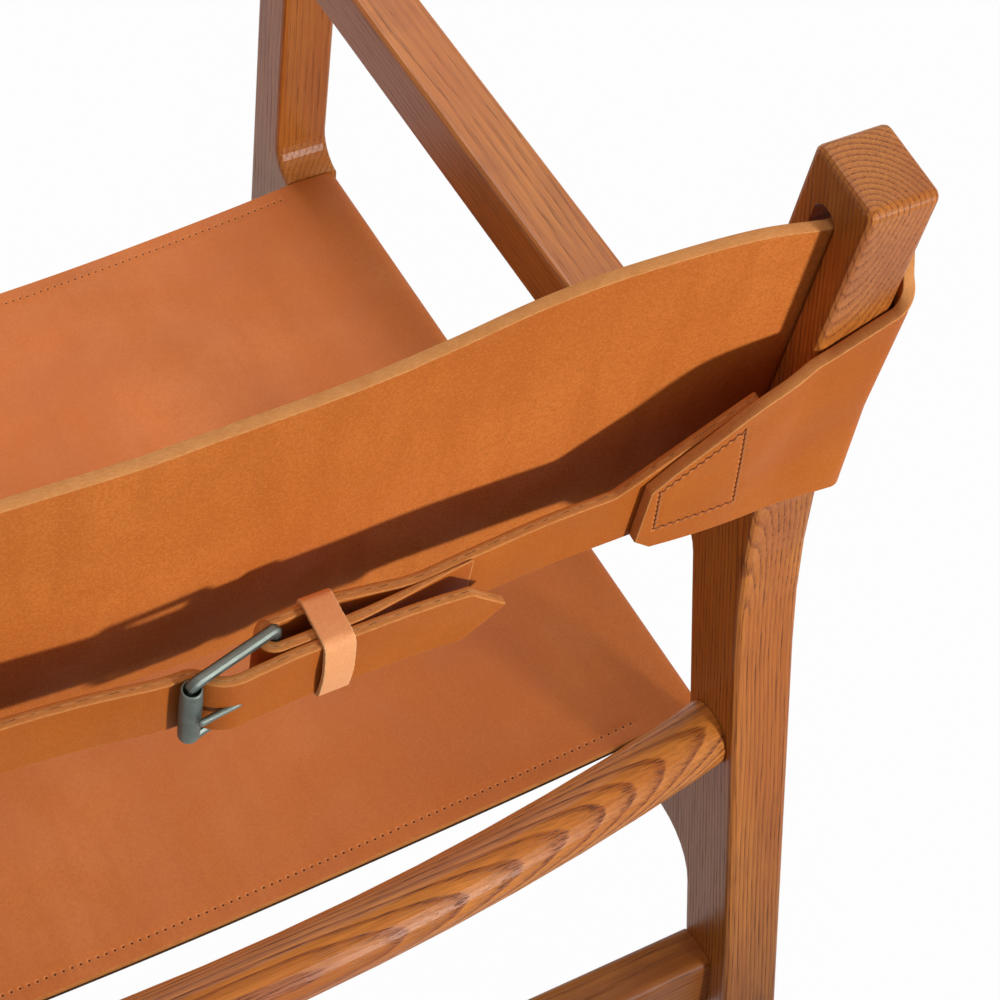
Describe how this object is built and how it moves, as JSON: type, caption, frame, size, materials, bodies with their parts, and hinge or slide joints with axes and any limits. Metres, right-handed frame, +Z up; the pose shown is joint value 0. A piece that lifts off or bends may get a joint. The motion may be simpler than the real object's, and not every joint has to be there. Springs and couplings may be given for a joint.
{
  "type": "leather sling lounge chair",
  "caption": "Timber lounge chair with a leather sling seat and a leather back wrapped round the rear posts and drawn tight by a roller buckle.",
  "frame": {"origin": "middle of the footprint, on the floor", "axes": "+Z up, the sitter faces -Y, +X at the sitter's left hand"},
  "size_m": [0.704, 0.7406, 0.7952],
  "materials": {
    "ash": "oiled, satin, open grain",
    "beech": "raw",
    "saddle_leather": "vegetable tanned, satin, raw cut edges",
    "pale_leather": "vegetable tanned, undyed, raw cut edges",
    "lining": "dark suede",
    "gunmetal": "dark gunmetal plating, satin",
    "zinc": "zinc plated",
    "nylon": "dark nylon"
  },
  "bodies": {
    "chair": {"rear_post_right": "ash", "rear_post_left": "ash", "front_leg_right": "ash", "front_leg_left": "ash", "arm_right": "ash", "arm_left": "ash", "side_rail_right": "ash", "side_rail_left": "ash", "rear_rail": "ash", "rear_stretcher": "ash", "front_stretcher": "ash", "dowel_rear_rail_right_low": "beech", "dowel_rear_rail_right_high": "beech", "dowel_rear_rail_left_low": "beech", "dowel_rear_rail_left_high": "beech", "dowel_front_rail_right_low": "beech", "dowel_front_rail_right_high": "beech", "dowel_front_rail_left_low": "beech", "dowel_front_rail_left_high": "beech", "dowel_arm_right_low": "beech", "dowel_arm_right_high": "beech", "dowel_arm_left_low": "beech", "dowel_arm_left_high": "beech", "glide_rear_right": "nylon", "glide_rear_left": "nylon", "glide_front_right": "nylon", "glide_front_left": "nylon", "sling_screw_right_1": "zinc", "sling_screw_right_2": "zinc", "sling_screw_right_3": "zinc", "sling_screw_right_4": "zinc", "sling_screw_left_1": "zinc", "sling_screw_left_2": "zinc", "sling_screw_left_3": "zinc", "sling_screw_left_4": "zinc", "seat_sling": "saddle_leather", "seat_lining": "lining", "back_panel": "saddle_leather", "strap_right": "saddle_leather", "strap_left": "saddle_leather"},
    "buckle": {"buckle_frame": "gunmetal"},
    "roller": {"buckle_roller": "gunmetal"},
    "tongue": {"buckle_tongue": "gunmetal"},
    "keeper": {"keeper": "pale_leather"}
  },
  "joints": [
    {"name": "buckle_tilt", "type": "hinge", "parent": "chair", "child": "buckle", "pos_m": [-0.042, 0.33536, 0.61835], "axis": [0, 0.2605, 0.9655], "range_deg": [0, 1.2]},
    {"name": "tongue_tilt", "type": "hinge", "parent": "buckle", "child": "tongue", "pos_m": [-0.042, 0.33536, 0.61835], "axis": [0, 0.2605, 0.9655], "range_deg": [0, 1.2]},
    {"name": "roller_spin", "type": "hinge", "parent": "buckle", "child": "roller", "pos_m": [0.001, 0.34598, 0.61549], "axis": [0, 0.2605, 0.9655], "continuous": true},
    {"name": "keeper_slide", "type": "slide", "parent": "chair", "child": "keeper", "axis": [1, 0, 0], "range_m": [-0.012, 0.004]}
  ]
}
